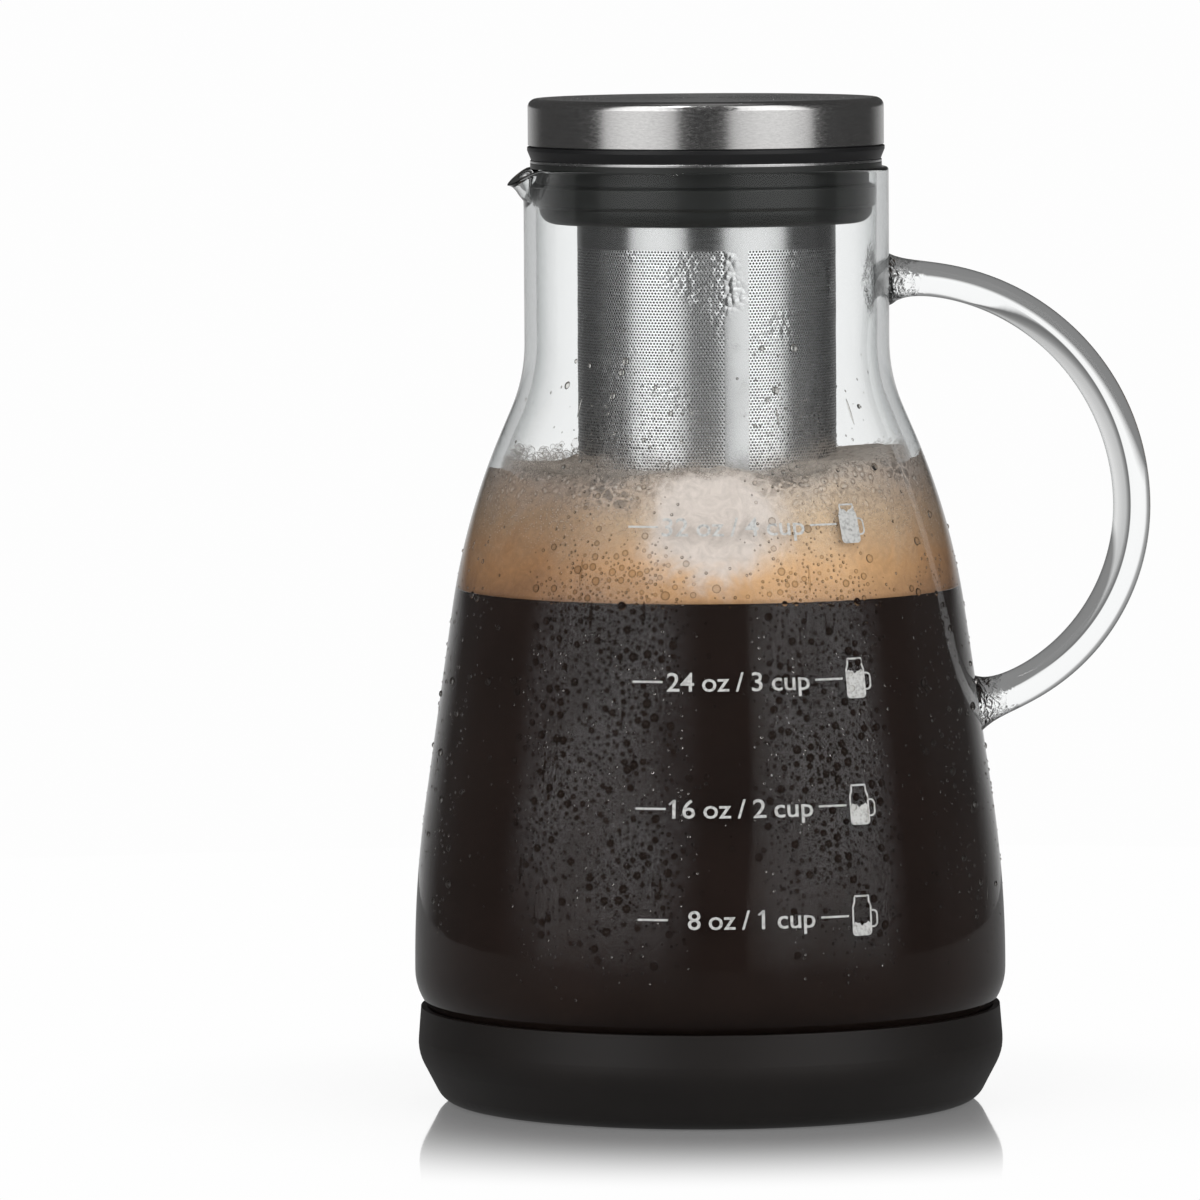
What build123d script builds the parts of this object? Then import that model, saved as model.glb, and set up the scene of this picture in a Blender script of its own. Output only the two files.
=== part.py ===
from build123d import *
import os
from math import radians, tan

# Cold brew coffee maker: a glass carafe in a silicone base, a steel filter that lifts out
# of its neck, and a lid that plugs the filter.
#
# Millimetres, Z up. The origin is the centre of the face that the base rests on.
# The handle points to +X, the pouring lip to -X and the measuring scale to -Y.
# Turned pieces are closed outlines of (radius, height, corner rounding) about the Z axis.

# --- Carafe: blown borosilicate glass -------------------------------------------------
glass_wall = 2.5
neck_r = 37.85           # outside of the straight neck
hip_r = 50.5             # corner between the shoulder and the flank
belly_r = 61.5           # outside at the widest
neck_h = 43.2            # rim to the shoulder's corner
shoulder_h = 29.4        # shoulder's corner to hip
flank_h = 75.7           # hip to belly
belly_h = 30.2           # belly to the glass bottom
shoulder_round = 34.0
hip_round = 145.0
belly_round = 240.0
heel_round = 12.0
punt_h = 7.0             # the bottom's middle, pushed up
punt_r = 42.0
punt_top_r = 16.0
punt_round = 20.0
rim_round = 0.7

# --- Pouring lip ----------------------------------------------------------------------
lip_reach = 3.85         # how far it stands proud of the neck
lip_round = 13.3         # its radius in plan, at the rim
lip_h = 7.2              # height over which it flares out of the neck
lip_dip = 3.5            # how far its tip lies below the rim
lip_dip_run = 6.0        # length over which the rim falls to the tip

# --- Handle: a bent glass rod, welded on at both ends ---------------------------------
rod_r = 3.9
handle_reach = 51.55     # from the neck to the rod's centre line, at its furthest
handle_top_drop = 23.6   # rim to upper weld
handle_far_drop = 71.5   # rim to the rod's furthest point
handle_bottom_h = 66.35  # glass bottom to lower weld
weld_r = 6.0             # root of the flare at each weld
weld_l = 4.5             # length of the flare

# --- Base: a moulded silicone cup that the carafe stands in ---------------------------
base_floor = 15.7        # resting face to the glass
base_cup_h = 4.3         # the cup's wall above the glass bottom
base_gap = 0.3           # round the glass
base_lip = 1.3           # thickness of the cup's lip
base_bulge = 0.75        # the flank's widest line, outside the lip
base_bulge_h = 10.6
base_tuck = 4.8          # how far the foot lies inside the lip
foot_round = 5.0
flank_round = 10.0
groove_w = 4.0           # grip rings in the resting face
groove_depth = 1.2
groove_round = 0.6
groove_first_r = 18.0
groove_pitch = 13.0
groove_count = 3

# --- Filter ---------------------------------------------------------------------------
steel_t = 0.5            # sheet of the screen, sleeve and bottom cap
lap_gap = 0.05           # between welded laps
collar_flange_t = 1.1    # silicone flange between the rim and the steel flange
rim_overlap = 1.1        # how far the flanges reach out over the rim
seal_gap = 0.1           # sealing lip to the neck's bore
collar_relief = 1.5      # the collar's upper part, inside the neck's bore
tail_relief = 0.8        # the collar's lower part, inside the neck's bore
collar_wall = 7.0        # upper part to the collar's bore
seal_drop = 3.1          # rim to the sealing lip
seal_h = 4.4
seal_bevel = 0.6         # height of the bevels above and below it
seal_round = 0.4
collar_tail_h = 3.3      # below the sealing lip
collar_tail_round = 3.5
flange_t = 0.6
flange_round = 1.2       # bend from flange to sleeve
sleeve_l = 8.0           # sleeve of the steel flange, inside the screen
filter_clear = 32.7      # glass floor to the filter, over the punt
bottom_cap_h = 4.5
bottom_cap_round = 1.2

# --- Lid ------------------------------------------------------------------------------
cap_inset = 0.95         # cap inside the neck's outside
cap_t = 0.6
cap_h = 9.6
cap_round = 1.8
band_h = 2.8             # black band under the cap
band_proud = 0.15        # band outside the cap
bevel_h = 2.0
bevel_w = 0.8
shadow_gap = 0.3         # band to the cap's skirt
cap_fit = 0.1            # cap over the insert's wall
insert_t = 2.0
insert_wall = 1.6
plug_gap = 1.2           # plug inside the sleeve
plug_tail = 3.0          # plug below the gasket
plug_round = 1.5
gasket_h = 4.6
gasket_drop = 2.6        # lid's seat to the gasket
gasket_t = 1.4           # depth of the gasket's groove
gasket_fit = 0.1         # gasket's fins to the sleeve
gasket_fin = 0.9         # how far its fins stand out of its band
fin_count = 2
fin_share = 0.9          # of the fins' pitch that a fin takes
fin_round = 0.2
edge_break = 0.2         # small edges of flanges and band

# --- Places that follow from the sizes ------------------------------------------------
neck_bore = neck_r - glass_wall
glass_floor = base_floor + punt_h + glass_wall
belly_z = base_floor + belly_h
hip_z = belly_z + flank_h
shoulder_z = hip_z + shoulder_h
rim_z = shoulder_z + neck_h
flange_r = neck_bore + rim_overlap
collar_bore = neck_bore - collar_relief - collar_wall
screen_r = collar_bore - lap_gap
screen_in = screen_r - steel_t
sleeve_r = screen_in - lap_gap
sleeve_in = sleeve_r - steel_t
flange_z = rim_z + collar_flange_t
lid_seat = flange_z + flange_t
filter_z = glass_floor + filter_clear
cap_r = neck_r - cap_inset
cap_in = cap_r - cap_t
band_r = cap_r + band_proud
band_top = lid_seat + band_h
cap_top = band_top + shadow_gap + cap_h
plug_r = sleeve_in - plug_gap


def point(place):
    """A corner of an outline as a point in the XZ plane."""
    return Vector(place[0], 0, place[1])


def rounded_run(corners):
    """Edges along an open run of (radius, height, rounding) corners, sharp at both ends."""
    spots = [point(corner) for corner in corners]
    runs = [spots[i + 1] - spots[i] for i in range(len(spots) - 1)]
    cuts = [0.0]
    for before, after, corner in zip(runs, runs[1:], corners[1:]):
        turn = radians(before.get_angle(after))
        cuts.append(corner[2] * tan(turn / 2) if len(corner) > 2 else 0.0)
    cuts.append(0.0)
    for i, run in enumerate(runs):
        share = 0.98 * run.length / max(cuts[i] + cuts[i + 1], 1e-9)
        cuts[i] *= min(1.0, share)
        cuts[i + 1] *= min(1.0, share)
    edges = []
    cursor = spots[0]
    for i in range(1, len(spots) - 1):
        if cuts[i] > 1e-6:
            before = runs[i - 1].normalized()
            start = spots[i] - before * cuts[i]
            end = spots[i] + runs[i].normalized() * cuts[i]
            edges.append(Line(cursor, start))
            edges.append(TangentArc(start, end, tangent=before))
            cursor = end
        else:
            edges.append(Line(cursor, spots[i]))
            cursor = spots[i]
    edges.append(Line(cursor, spots[-1]))
    return edges


def turned(corners):
    """A solid of revolution from a closed outline, sharp at its first and last corner."""
    edges = rounded_run(corners)
    edges.append(Line(point(corners[-1]), point(corners[0])))
    return revolve(make_face(edges), axis=Axis.Z)


def inset(corners, depth):
    """An open run moved sideways by a wall, with its roundings kept concentric."""
    spots = [point(corner) for corner in corners]
    ways = [(spots[i + 1] - spots[i]).normalized() for i in range(len(spots) - 1)]
    sides = [Vector(way.Z, 0, -way.X) for way in ways]
    moved = [spots[0] + sides[0] * depth]
    for i in range(1, len(spots) - 1):
        both = sides[i - 1] + sides[i]
        moved.append(spots[i] + both * (depth / (1 + sides[i - 1].dot(sides[i]))))
    moved.append(spots[-1] + sides[-1] * depth)
    result = []
    for i, spot in enumerate(moved):
        rounding = corners[i][2] if len(corners[i]) > 2 else 0.0
        if rounding:
            hollow = ways[i - 1].cross(ways[i]).Y < 0
            rounding = rounding + depth if hollow else max(rounding - depth, 0)
        result.append((spot.X, spot.Z, rounding))
    return result


# --- Carafe ---------------------------------------------------------------------------
def carafe_outline():
    """The outside of the glass, from the rim down to the axis."""
    return [
        (neck_r, rim_z),
        (neck_r, shoulder_z, shoulder_round),
        (hip_r, hip_z, hip_round),
        (belly_r, belly_z, belly_round),
        (belly_r, base_floor, heel_round),
        (punt_r, base_floor, punt_round),
        (punt_top_r, base_floor + punt_h, punt_round),
        (0, base_floor + punt_h),
    ]


def carafe_form():
    """The glass with no hollow in it, which the handle is cut to."""
    return turned([(0, rim_z)] + carafe_outline())


def carafe_hollow():
    """The inside of the glass, open at the rim."""
    inside = inset(carafe_outline(), glass_wall)
    return turned([(0, rim_z)] + inside)


def rim_rounding():
    """The ring of sharp corners that is taken off the rim."""
    ring = turned([
        (neck_bore, rim_z - rim_round),
        (neck_bore, rim_z),
        (neck_r, rim_z),
        (neck_r, rim_z - rim_round),
    ])
    land = turned([
        (neck_bore, rim_z - 2 * rim_round),
        (neck_bore, rim_z, rim_round),
        (neck_r, rim_z, rim_round),
        (neck_r, rim_z - 2 * rim_round),
    ])
    return ring - land


def lip_cone(shrink):
    """A cone that flares out of the neck, for the outside or the inside of the lip."""
    top_r = lip_round - shrink
    bottom_r = lip_round - lip_reach - shrink
    across = neck_r + lip_reach - lip_round
    cone = Cone(bottom_r, top_r, lip_h, align=(Align.CENTER, Align.CENTER, Align.MAX))
    return Pos(-across, 0, rim_z) * cone


def lip_dip_cut():
    """The wedge that lowers the rim towards the tip of the lip."""
    start = neck_r + lip_reach - lip_dip_run
    end = start + 2 * lip_dip_run
    edges = Polyline(
        (-start, 0, rim_z),
        (-end, 0, rim_z - 2 * lip_dip),
        (-end, 0, rim_z + lip_dip),
        (-start, 0, rim_z + lip_dip),
        close=True,
    )
    return extrude(make_face(edges), amount=neck_r, both=True, dir=(0, 1, 0))


def glass_body():
    """Neck, shoulder, flank, heel and pouring lip in one blown piece."""
    outside = carafe_form() - rim_rounding() + lip_cone(0)
    inside = carafe_hollow() + lip_cone(glass_wall)
    return outside - inside - lip_dip_cut()


def flank_r(z):
    """Outside radius of the flank at a height."""
    return hip_r + (belly_r - hip_r) * (hip_z - z) / flank_h


def glass_handle():
    """A round rod bent to two arcs that meet at its furthest point, flared at both welds."""
    low_z = base_floor + handle_bottom_h
    top = Vector(neck_r, 0, rim_z - handle_top_drop)
    far = Vector(neck_r + handle_reach, 0, rim_z - handle_far_drop)
    low = Vector(flank_r(low_z), 0, low_z)
    above = TangentArc(far, top, tangent=(0, 0, 1))
    below = TangentArc(far, low, tangent=(0, 0, -1))
    path = Wire([ThreePointArc(top, above @ 0.5, far), below])
    rod = sweep(Plane(origin=path @ 0, z_dir=path % 0) * Circle(rod_r), path=path)
    for end, way in ((path @ 0, path % 0), (path @ 1, (path % 1) * -1)):
        flare = Cone(weld_r, rod_r, 2 * weld_l, align=(Align.CENTER, Align.CENTER, Align.MIN))
        rod += Plane(origin=end - way * weld_l, z_dir=way) * flare
    return rod - carafe_form()


# --- Base -----------------------------------------------------------------------------
def silicone_base():
    """A cup with a thin lip round the glass heel and grip rings underneath."""
    lip_z = base_floor + base_cup_h
    heel_rise = max(heel_round - base_cup_h, 0)
    lip_in = belly_r + base_gap - heel_round + (heel_round ** 2 - heel_rise ** 2) ** 0.5
    lip_out = lip_in + base_lip
    outside = turned([
        (0, 0),
        (lip_out - base_tuck, 0, foot_round),
        (lip_out + base_bulge, base_bulge_h, flank_round),
        (lip_out, lip_z),
        (0, lip_z),
    ])
    hollow = turned([
        (0, rim_z),
        (0, base_floor),
        (belly_r + base_gap, base_floor, heel_round),
        (belly_r + base_gap, rim_z),
    ])
    base = outside - hollow
    for i in range(groove_count):
        radius = groove_first_r + i * groove_pitch
        base -= turned([
            (radius - groove_w / 2, -groove_depth),
            (radius - groove_w / 2, groove_depth, groove_round),
            (radius + groove_w / 2, groove_depth, groove_round),
            (radius + groove_w / 2, -groove_depth),
        ])
    return base


# --- Filter ---------------------------------------------------------------------------
def filter_collar():
    """Silicone collar: a flange over the rim, a sealing lip and a tapered tail."""
    seal_top = rim_z - seal_drop
    seal_low = seal_top - seal_h
    tail_z = seal_low - seal_bevel - collar_tail_h
    plug_out = neck_bore - collar_relief
    tail_out = neck_bore - tail_relief
    seal_out = neck_bore - seal_gap
    return turned([
        (collar_bore, flange_z),
        (flange_r, flange_z, edge_break),
        (flange_r, rim_z),
        (plug_out, rim_z),
        (plug_out, seal_top),
        (seal_out, seal_top - seal_bevel, seal_round),
        (seal_out, seal_low, seal_round),
        (tail_out, seal_low - seal_bevel),
        (tail_out, tail_z, collar_tail_round),
        (collar_bore, tail_z),
    ])


def filter_flange():
    """Spun steel ring: a flat flange over the collar and a sleeve in the screen."""
    return turned([
        (sleeve_in, flange_z - sleeve_l),
        (sleeve_in, lid_seat, flange_round),
        (flange_r, lid_seat, edge_break),
        (flange_r, flange_z),
        (sleeve_r, flange_z),
        (sleeve_r, flange_z - sleeve_l),
    ])


def filter_screen():
    """Tube of etched steel sheet, rolled and seam welded."""
    return turned([
        (screen_in, filter_z),
        (screen_in, flange_z),
        (screen_r, flange_z),
        (screen_r, filter_z),
    ])


def filter_bottom():
    """Pressed steel cap welded into the lower end of the screen."""
    cap_out = screen_in - lap_gap
    return turned([
        (0, filter_z),
        (cap_out, filter_z, bottom_cap_round),
        (cap_out, filter_z + bottom_cap_h),
        (cap_out - steel_t, filter_z + bottom_cap_h),
        (cap_out - steel_t, filter_z + steel_t, max(bottom_cap_round - steel_t, 0)),
        (0, filter_z + steel_t),
    ])


# --- Lid ------------------------------------------------------------------------------
def lid_insert():
    """Moulded plug and band: a stepped cup that the steel cap closes."""
    gasket_top = lid_seat - gasket_drop
    gasket_low = gasket_top - gasket_h
    plug_z = gasket_low - plug_tail
    groove_r = plug_r - gasket_t
    wall_out = cap_in - cap_fit
    return turned([
        (0, plug_z),
        (plug_r, plug_z, plug_round),
        (plug_r, gasket_low),
        (groove_r, gasket_low),
        (groove_r, gasket_top),
        (plug_r, gasket_top),
        (plug_r, lid_seat),
        (band_r - bevel_w, lid_seat),
        (band_r, lid_seat + bevel_h),
        (band_r, band_top, edge_break),
        (wall_out, band_top),
        (wall_out, cap_top - cap_t, cap_round),
        (wall_out - insert_wall, cap_top - cap_t),
        (wall_out - insert_wall, lid_seat + insert_t),
        (groove_r - insert_wall, lid_seat + insert_t),
        (groove_r - insert_wall, plug_z + insert_t),
        (0, plug_z + insert_t),
    ])


def lid_gasket():
    """Silicone ring in the plug's groove, with fins that wipe the sleeve."""
    top = lid_seat - gasket_drop - lap_gap
    low = lid_seat - gasket_drop - gasket_h + lap_gap
    tip = sleeve_in - gasket_fit
    band = tip - gasket_fin
    bore = plug_r - gasket_t + lap_gap
    pitch = (top - low) / fin_count
    fin_h = fin_share * pitch
    corners = [(bore, low)]
    for i in range(fin_count):
        start = low + i * pitch
        corners.append((band, start))
        corners.append((tip, start + fin_h / 2, fin_round))
        corners.append((band, start + fin_h))
    corners.append((band, top))
    corners.append((bore, top))
    return turned(corners)


def lid_cap():
    """Deep-drawn brushed steel cap with a rounded top edge."""
    skirt_z = band_top + shadow_gap
    return turned([
        (0, cap_top),
        (cap_r, cap_top, cap_round),
        (cap_r, skirt_z),
        (cap_in, skirt_z),
        (cap_in, cap_top - cap_t, max(cap_round - cap_t, 0)),
        (0, cap_top - cap_t),
    ])


parts = {
    "silicone_base": silicone_base,
    "glass_body": glass_body,
    "glass_handle": glass_handle,
    "filter_collar": filter_collar,
    "filter_flange": filter_flange,
    "filter_screen": filter_screen,
    "filter_bottom": filter_bottom,
    "lid_insert": lid_insert,
    "lid_gasket": lid_gasket,
    "lid_cap": lid_cap,
}

os.makedirs("parts", exist_ok=True)
for name, build in parts.items():
    solid = build()
    solid.label = name
    export_step(solid, f"parts/{name}.step")
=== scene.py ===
from functools import partial
from math import atan2, ceil, copysign, cos, exp, hypot, pi, radians, sin, sqrt, tan

import bmesh
import bpy
from mathutils import Matrix, Vector, noise

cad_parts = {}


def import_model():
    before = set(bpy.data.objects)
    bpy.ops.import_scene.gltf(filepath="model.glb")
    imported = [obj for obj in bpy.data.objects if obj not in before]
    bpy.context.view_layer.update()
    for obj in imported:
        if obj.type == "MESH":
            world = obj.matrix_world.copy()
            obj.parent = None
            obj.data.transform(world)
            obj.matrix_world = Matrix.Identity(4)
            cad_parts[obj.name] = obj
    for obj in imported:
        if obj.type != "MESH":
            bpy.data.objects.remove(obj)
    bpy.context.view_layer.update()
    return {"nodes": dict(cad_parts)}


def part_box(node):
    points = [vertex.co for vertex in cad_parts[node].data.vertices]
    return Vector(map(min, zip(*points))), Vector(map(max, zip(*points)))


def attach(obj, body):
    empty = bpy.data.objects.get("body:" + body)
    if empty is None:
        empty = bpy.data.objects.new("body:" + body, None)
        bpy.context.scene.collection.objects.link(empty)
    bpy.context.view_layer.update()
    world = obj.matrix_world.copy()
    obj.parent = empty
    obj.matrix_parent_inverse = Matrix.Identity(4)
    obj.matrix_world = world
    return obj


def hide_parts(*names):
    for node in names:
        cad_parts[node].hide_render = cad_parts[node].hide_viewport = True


# A cold brew coffee maker: a glass carafe in a silicone base, holding coffee and foam, with a
# steel filter in its neck and a steel-capped lid. Sizes are in millimetres and turned to
# metres where a mesh is made. Angles round the axis are counted from the measuring scale
# (-Y), positive towards the handle (+X).

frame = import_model()
MM = 0.001

# --- Carafe ---
RIM_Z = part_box("glass_body")[1].z / MM
BASE_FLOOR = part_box("glass_body")[0].z / MM
GLASS_WALL = 2.5
NECK_R = 37.85
HIP_R = 50.5
BELLY_R = 61.47
SHOULDER_Z = RIM_Z - 43.2
HIP_Z = SHOULDER_Z - 29.4
BELLY_Z = HIP_Z - 75.7
PUNT_H = 7.0
RIM_ROUND = 0.7
LIP_REACH = 3.85         # pouring lip, proud of the neck
LIP_ROUND = 13.3         # its radius in plan
LIP_H = 7.2
LIP_DIP = 3.5            # its tip below the rim
LIP_DIP_RUN = 6.0
LIP_BLEND = 2.5          # how softly it leaves the neck
ROD_R = 3.9              # handle
ROD_DRAWN = 0.12         # how much thinner its upper end is drawn
HANDLE_REACH = 51.55
HANDLE_TOP_DROP = 23.6
HANDLE_FAR_DROP = 71.5
HANDLE_BOTTOM_H = 66.35
WELD_FLARE = 2.3         # how much thicker the rod is at its welds
WELD_RUN = 2.8           # length over which that dies away

# --- What the carafe holds ---
COFFEE_Z = 106.9
FOAM_Z = 133.2
WETTING = 0.3            # how far the contents' skin lies in the wall that they wet

# --- Measuring scale ---
SCALE_Z = {8: 43.7, 16: 66.1, 24: 91.6, 32: 122.7}
DIGIT_H = 3.8
LINE_W = 0.36
INK_DEPTH = 0.06
INK_LIFT = 0.02          # off the glass
LEFT_DASH = (-23.3, -17.1)
TEXT_END = 13.3
TEXT_START = {8: -13.0, 16: -15.7, 24: -16.2, 32: -16.2}
RIGHT_DASH = (14.6, 20.8)
MUG_X = 21.8
MUG_W = 4.2
MUG_H = 7.9

# --- Filter ---
SCREEN_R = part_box("filter_screen")[1].x / MM
HOLE_PITCH = 0.7
SCREEN_TOP = 177.9       # upper edge of the holes
SCREEN_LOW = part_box("filter_screen")[0].z / MM + 6.0
SEAM = (radians(-0.5), radians(10.5))   # plain strip along the screen's weld


# --- Meshes ---
def srgb(code):
    """A linear colour from an sRGB hex code."""
    parts = [int(code[i:i + 2], 16) / 255 for i in (1, 3, 5)]
    return [p / 12.92 if p <= 0.04045 else ((p + 0.055) / 1.055) ** 2.4 for p in parts] + [1.0]


def fade(value, low, high):
    """0 at low, 1 at high, smooth between."""
    share = min(max((value - low) / (high - low), 0.0), 1.0)
    return share * share * (3 - 2 * share)


def straight(start, end, step):
    """Points from start, left out, to end."""
    count = max(1, ceil((end - start).length / step))
    return [start.lerp(end, i / count) for i in range(1, count + 1)]


def rounded(corners, step=1.0):
    """Points about a step apart along a run of (radius, height, rounding) corners."""
    spots = [Vector(corner[:2]) for corner in corners]
    runs = [after - before for before, after in zip(spots, spots[1:])]
    cuts = [0.0]
    for before, after, corner in zip(runs, runs[1:], corners[1:]):
        rounding = corner[2] if len(corner) > 2 else 0.0
        cuts.append(rounding * tan(before.angle(after) / 2))
    cuts.append(0.0)
    for i, run in enumerate(runs):
        share = min(1.0, 0.98 * run.length / max(cuts[i] + cuts[i + 1], 1e-9))
        cuts[i] *= share
        cuts[i + 1] *= share
    points = [spots[0]]
    for i in range(1, len(spots) - 1):
        before, after = runs[i - 1].normalized(), runs[i].normalized()
        turn = before.angle(after)
        start = spots[i] - before * cuts[i]
        points += straight(points[-1], start, step)
        if cuts[i] < 1e-6 or turn < 1e-6:
            continue
        radius = cuts[i] / tan(turn / 2)
        side = Vector((-before.y, before.x)) * copysign(1, before.x * after.y - before.y * after.x)
        count = max(3, ceil(radius * turn / step))
        for k in range(1, count + 1):
            bend = turn * k / count
            points.append(start + before * radius * sin(bend) + side * radius * (1 - cos(bend)))
    points += straight(points[-1], spots[-1], step)
    return points


def shifted(points, depth):
    """A run of points moved to its right-hand side by a depth."""
    moved = []
    for i, spot in enumerate(points):
        way = (points[min(i + 1, len(points) - 1)] - points[max(i - 1, 0)]).normalized()
        moved.append(spot + Vector((way.y, -way.x)) * depth)
    return moved


def placed(name, data):
    """A new object of the scene that shows some data."""
    made = bpy.data.objects.new(name, data)
    bpy.context.scene.collection.objects.link(made)
    return made


def mesh_object(name, verts, faces, finish=None):
    """A smooth object from points in millimetres, its faces turned outwards."""
    mesh = bpy.data.meshes.new(name)
    mesh.from_pydata([Vector(v) * MM for v in verts], [], faces)
    skin = bmesh.new()
    skin.from_mesh(mesh)
    bmesh.ops.recalc_face_normals(skin, faces=skin.faces)
    skin.to_mesh(mesh)
    skin.free()
    mesh.shade_smooth()
    if finish:
        mesh.materials.append(finish)
    return placed(name, mesh)


def on_axis(radius, angle, height):
    """A point at an angle from the scale, in millimetres."""
    return (radius * sin(angle), -radius * cos(angle), height)


def lathe(name, profile, finish=None, segments=192, reshape=None):
    """A skin turned from (radius, height) points, closed where it starts and ends on the axis."""
    verts, faces, rings = [], [], []
    for radius, height in profile:
        first = len(verts)
        if radius < 1e-4:
            verts.append((0, 0, height))
            rings.append([first] * segments)
            continue
        for i in range(segments):
            angle = 2 * pi * i / segments
            place = reshape(radius, angle, height) if reshape else (radius, height)
            verts.append(on_axis(place[0], angle, place[1]))
        rings.append(range(first, first + segments))
    for low, high in zip(rings, rings[1:]):
        for i in range(segments):
            j = (i + 1) % segments
            faces.append(tuple(dict.fromkeys((low[i], low[j], high[j], high[i]))))
    return mesh_object(name, verts, faces, finish)


def plain(source, name):
    """The evaluated mesh of an object as a new object at the origin; the source goes."""
    bpy.context.view_layer.update()
    depsgraph = bpy.context.evaluated_depsgraph_get()
    mesh = bpy.data.meshes.new_from_object(source.evaluated_get(depsgraph))
    mesh.transform(source.matrix_world)
    mesh.name = name
    made = placed(name, mesh)
    bpy.data.objects.remove(source)
    made.name = name
    return made


# --- Nodes ---
# The setting that a second word after a node's kind stands for.
MODES = {"Math": "operation", "VectorMath": "operation", "Mix": "data_type",
         "MapRange": "interpolation_type"}


def node(tree, kind, *values, stops=(), **settings):
    """Adds a node with its settings. Values go to its inputs in order, or from a dictionary by
    name: numbers, hex colours, sockets, or nodes, linked by their first output in use. Stops
    are the (position, hex code) pairs of a colour ramp."""
    kind, *mode = kind.split()
    if mode:
        settings[MODES[kind]] = mode[0]
    whole = kind.startswith(("Geometry", "Function", "NodeGroup"))
    made = tree.nodes.new(kind if whole else "ShaderNode" + kind)
    for name, value in settings.items():
        setattr(made, name, value)
    for position, _ in stops[1:-1]:
        made.color_ramp.elements.new(position)
    for i, (position, code) in enumerate(stops):
        made.color_ramp.elements[i].position = position
        made.color_ramp.elements[i].color = srgb(code)
    given = {}
    for i, value in enumerate(values):
        given |= value if isinstance(value, dict) else {i: value}
    for name, value in given.items():
        if isinstance(value, bpy.types.Node):
            value = next(socket for socket in value.outputs if socket.enabled)
        if isinstance(value, str) and value.startswith("#"):
            value = srgb(value)
        if isinstance(value, bpy.types.NodeSocket):
            tree.links.new(value, made.inputs[name])
        else:
            made.inputs[name].default_value = value
    return made


def material(name, shader, *given):
    """A material from a function that adds its nodes and returns the last, its shader."""
    made = bpy.data.materials.new(name)
    made.use_nodes = True
    made.node_tree.nodes.clear()
    add = partial(node, made.node_tree)
    add("OutputMaterial", shader(add, *given))
    return made


def turned_place(add):
    """Sockets for the angle from the scale in radians, the radius and the height in metres."""
    place = add("TexCoord").outputs["Object"]
    along = add("SeparateXYZ", place).outputs
    angle = add("Math ARCTAN2", along[0], add("Math MULTIPLY", along[1], -1.0))
    radius = add("VectorMath LENGTH", add("VectorMath MULTIPLY", place, (1, 1, 0)))
    return angle, radius, along[2]


def within(add, value, low, high, soft):
    """1 where a value lies between two limits, with soft edges, and 0 elsewhere."""
    rise = add("MapRange", value, low - soft, low + soft)
    fall = add("MapRange", value, high - soft, high + soft, 1.0, 0.0)
    return add("Math MULTIPLY", rise, fall)


# --- Materials ---
def moulded_silicone(add, dark, pale, roughness, grain):
    """Moulded silicone rubber: matte, its fine mould texture as strong as grain says."""
    place = add("TexCoord").outputs["Object"]
    clouds = add("TexNoise", {"Vector": place, "Scale": 60.0, "Detail": 3.0})
    tone = add("Mix RGBA", {0: clouds, 6: dark, 7: pale})
    fine = add("TexNoise", {"Vector": place, "Scale": 4000.0})
    bump = add("Bump", {"Height": fine, "Strength": grain, "Distance": 0.05 * MM})
    rough = add("MapRange", clouds, 0.0, 1.0, roughness - 0.06, roughness + 0.06)
    return add("BsdfPrincipled", {
        "Base Color": tone, "Roughness": rough, "Normal": bump, "IOR": 1.41})


def moulded_polypropylene(add):
    """Black moulded polypropylene: an even satin with a very fine spark-eroded grain."""
    place = add("TexCoord").outputs["Object"]
    fine = add("TexNoise", {"Vector": place, "Scale": 4000.0})
    bump = add("Bump", {"Height": fine, "Strength": 0.2, "Distance": 0.03 * MM})
    return add("BsdfPrincipled", {
        "Base Color": "#131314", "Roughness": 0.42, "Normal": bump, "IOR": 1.49})


def brushed_steel(add, colour, roughness, streak):
    """Stainless steel brushed round its axis: fine bright and dull lines along the turn."""
    angle, radius, height = turned_place(add)
    lines = add("CombineXYZ", add("Math MULTIPLY", angle, 0.012), radius, height)
    coarse = add("TexNoise", {"Vector": lines, "Scale": 1 / (streak * MM), "Detail": 4.0,
                              "Roughness": 0.7})
    shine = add("MapRange", coarse, 0.3, 0.7, roughness * 0.75, roughness * 1.35)
    tone = add("MapRange", coarse, 0.25, 0.75, 0.8, 1.08)
    tint = add("Mix RGBA", {0: 1.0, 6: colour, 7: tone}, blend_type="MULTIPLY")
    bump = add("Bump", {"Height": coarse, "Strength": 0.12, "Distance": 0.02 * MM})
    turn = add("Tangent", direction_type="RADIAL", axis="Z")
    return add("BsdfPrincipled", {
        "Base Color": tint, "Metallic": 1.0, "Roughness": shine, "Anisotropic": 0.5,
        "Tangent": turn, "Normal": bump})


def hole_distance(add, angle, height):
    """How far a point of the screen is from the nearest hole's middle, in hole pitches."""
    across = add("Math MULTIPLY", angle, SCREEN_R / HOLE_PITCH)
    up = add("Math MULTIPLY", height, 1 / (HOLE_PITCH * MM * sqrt(3)))
    cell = add("CombineXYZ", across, up)
    lengths = []
    for shift in (0.0, 0.5):
        part = add("VectorMath FRACTION", add("VectorMath", cell, (shift, shift, 0)))
        centred = add("VectorMath SUBTRACT", part, (0.5, 0.5, 0))
        even = add("VectorMath MULTIPLY", centred, (1, sqrt(3), 0))
        lengths.append(add("VectorMath LENGTH", even))
    return add("Math MINIMUM", *lengths)


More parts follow.
